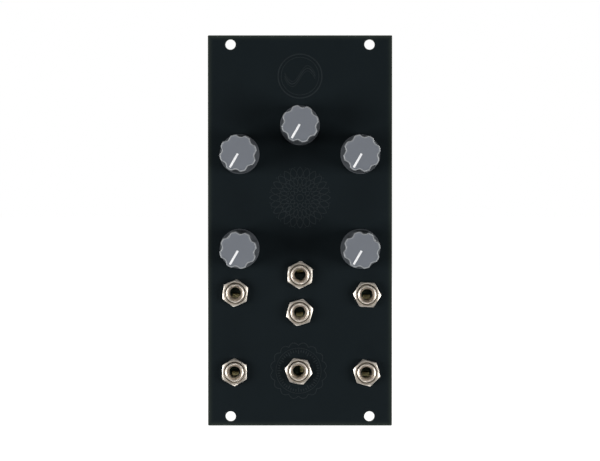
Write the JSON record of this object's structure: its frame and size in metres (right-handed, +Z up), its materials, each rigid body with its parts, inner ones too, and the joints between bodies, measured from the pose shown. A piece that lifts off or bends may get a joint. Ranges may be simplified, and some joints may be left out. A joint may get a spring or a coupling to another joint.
{
  "type": "eurorack module",
  "caption": "Rack synthesiser module: flat black front panel with fluted rotary knobs, 3.5 mm jacks with hexagon nuts, and a control board behind carrying a keyed power header.",
  "frame": {"origin": "middle of the front panel's rear face, which lies on the rack's rails", "axes": "+X right seen from the front, +Y into the rack away from the viewer, +Z up along the panel's height"},
  "size_m": [0.0606, 0.0381, 0.1284],
  "materials": {
    "panel_mask": "semi-gloss black solder mask on glass-fibre board",
    "knob_plastic": "moulded grey plastic with a fine satin grain",
    "shaft_steel": "turned steel",
    "nickel_plate": "bright nickel plate",
    "zinc_casting": "dull die-cast zinc and tinned steel",
    "spring_bronze": "plated spring bronze",
    "black_plastic": "black moulded plastic",
    "board_mask": "green solder mask on glass-fibre board",
    "chip_resin": "matt black moulded resin",
    "can_aluminium": "satin aluminium can"
  },
  "bodies": {
    "module": {"panel": "panel_mask", "pot_nut_upper_left": "nickel_plate", "pot_bushing_upper_left": "zinc_casting", "pot_housing_upper_left": "black_plastic", "pot_nut_top": "nickel_plate", "pot_bushing_top": "zinc_casting", "pot_housing_top": "black_plastic", "pot_nut_upper_right": "nickel_plate", "pot_bushing_upper_right": "zinc_casting", "pot_housing_upper_right": "black_plastic", "pot_nut_lower_left": "nickel_plate", "pot_bushing_lower_left": "zinc_casting", "pot_housing_lower_left": "black_plastic", "pot_nut_lower_right": "nickel_plate", "pot_bushing_lower_right": "zinc_casting", "pot_housing_lower_right": "black_plastic", "jack_housing_left": "black_plastic", "jack_barrel_left": "nickel_plate", "jack_nut_left": "nickel_plate", "jack_housing_centre_high": "black_plastic", "jack_barrel_centre_high": "nickel_plate", "jack_nut_centre_high": "nickel_plate", "jack_housing_centre_low": "black_plastic", "jack_barrel_centre_low": "nickel_plate", "jack_nut_centre_low": "nickel_plate", "jack_housing_right": "black_plastic", "jack_barrel_right": "nickel_plate", "jack_nut_right": "nickel_plate", "jack_housing_bottom_left": "black_plastic", "jack_barrel_bottom_left": "nickel_plate", "jack_nut_bottom_left": "nickel_plate", "jack_housing_bottom_centre": "black_plastic", "jack_barrel_bottom_centre": "nickel_plate", "jack_nut_bottom_centre": "nickel_plate", "jack_housing_bottom_right": "black_plastic", "jack_barrel_bottom_right": "nickel_plate", "jack_nut_bottom_right": "nickel_plate", "control_board": "board_mask", "power_header": "black_plastic", "amplifier_chip_left": "chip_resin", "amplifier_chip_right": "chip_resin", "capacitor_left": "can_aluminium", "capacitor_right": "can_aluminium"},
    "dial_upper_left": {"knob_upper_left": "knob_plastic", "pot_shaft_upper_left": "shaft_steel"},
    "dial_top": {"knob_top": "knob_plastic", "pot_shaft_top": "shaft_steel"},
    "dial_upper_right": {"knob_upper_right": "knob_plastic", "pot_shaft_upper_right": "shaft_steel"},
    "dial_lower_left": {"knob_lower_left": "knob_plastic", "pot_shaft_lower_left": "shaft_steel"},
    "dial_lower_right": {"knob_lower_right": "knob_plastic", "pot_shaft_lower_right": "shaft_steel"},
    "tip_contact_left": {"jack_tip_spring_left": "spring_bronze"},
    "tip_contact_centre_high": {"jack_tip_spring_centre_high": "spring_bronze"},
    "tip_contact_centre_low": {"jack_tip_spring_centre_low": "spring_bronze"},
    "tip_contact_right": {"jack_tip_spring_right": "spring_bronze"},
    "tip_contact_bottom_left": {"jack_tip_spring_bottom_left": "spring_bronze"},
    "tip_contact_bottom_centre": {"jack_tip_spring_bottom_centre": "spring_bronze"},
    "tip_contact_bottom_right": {"jack_tip_spring_bottom_right": "spring_bronze"}
  },
  "joints": [
    {"name": "dial_upper_left_turn", "type": "hinge", "parent": "module", "child": "dial_upper_left", "pos_m": [-0.0198, 0, 0.0252], "axis": [0, 1, 0], "range_deg": [0, 300]},
    {"name": "dial_top_turn", "type": "hinge", "parent": "module", "child": "dial_top", "pos_m": [0, 0, 0.0346], "axis": [0, 1, 0], "range_deg": [0, 300]},
    {"name": "dial_upper_right_turn", "type": "hinge", "parent": "module", "child": "dial_upper_right", "pos_m": [0.0198, 0, 0.0252], "axis": [0, 1, 0], "range_deg": [0, 300]},
    {"name": "dial_lower_left_turn", "type": "hinge", "parent": "module", "child": "dial_lower_left", "pos_m": [-0.0198, 0, -0.00585], "axis": [0, 1, 0], "range_deg": [0, 300]},
    {"name": "dial_lower_right_turn", "type": "hinge", "parent": "module", "child": "dial_lower_right", "pos_m": [0.0198, 0, -0.00585], "axis": [0, 1, 0], "range_deg": [0, 300]},
    {"name": "tip_contact_left_flex", "type": "hinge", "parent": "module", "child": "tip_contact_left", "pos_m": [-0.02128, 0.00795, -0.02436], "axis": [1, 0, 0], "range_deg": [0, 15], "stiffness_Nm_per_rad": 0.01},
    {"name": "tip_contact_centre_high_flex", "type": "hinge", "parent": "module", "child": "tip_contact_centre_high", "pos_m": [0, 0.00795, -0.0106], "axis": [-1, 0, 0], "range_deg": [0, 15], "stiffness_Nm_per_rad": 0.01},
    {"name": "tip_contact_centre_low_flex", "type": "hinge", "parent": "module", "child": "tip_contact_centre_low", "pos_m": [-0.00012, 0.00795, -0.0307], "axis": [1, 0, 0], "range_deg": [0, 15], "stiffness_Nm_per_rad": 0.01},
    {"name": "tip_contact_right_flex", "type": "hinge", "parent": "module", "child": "tip_contact_right", "pos_m": [0.02204, 0.00795, -0.02486], "axis": [1, 0, 0], "range_deg": [0, 15], "stiffness_Nm_per_rad": 0.01},
    {"name": "tip_contact_bottom_left_flex", "type": "hinge", "parent": "module", "child": "tip_contact_bottom_left", "pos_m": [-0.02153, 0.00795, -0.05035], "axis": [1, 0, 0], "range_deg": [0, 15], "stiffness_Nm_per_rad": 0.01},
    {"name": "tip_contact_bottom_centre_flex", "type": "hinge", "parent": "module", "child": "tip_contact_bottom_centre", "pos_m": [0.00342, 0.00795, -0.04615], "axis": [0, 0, 1], "range_deg": [0, 15], "stiffness_Nm_per_rad": 0.01},
    {"name": "tip_contact_bottom_right_flex", "type": "hinge", "parent": "module", "child": "tip_contact_bottom_right", "pos_m": [0.0219, 0.00795, -0.05057], "axis": [1, 0, 0], "range_deg": [0, 15], "stiffness_Nm_per_rad": 0.01}
  ]
}
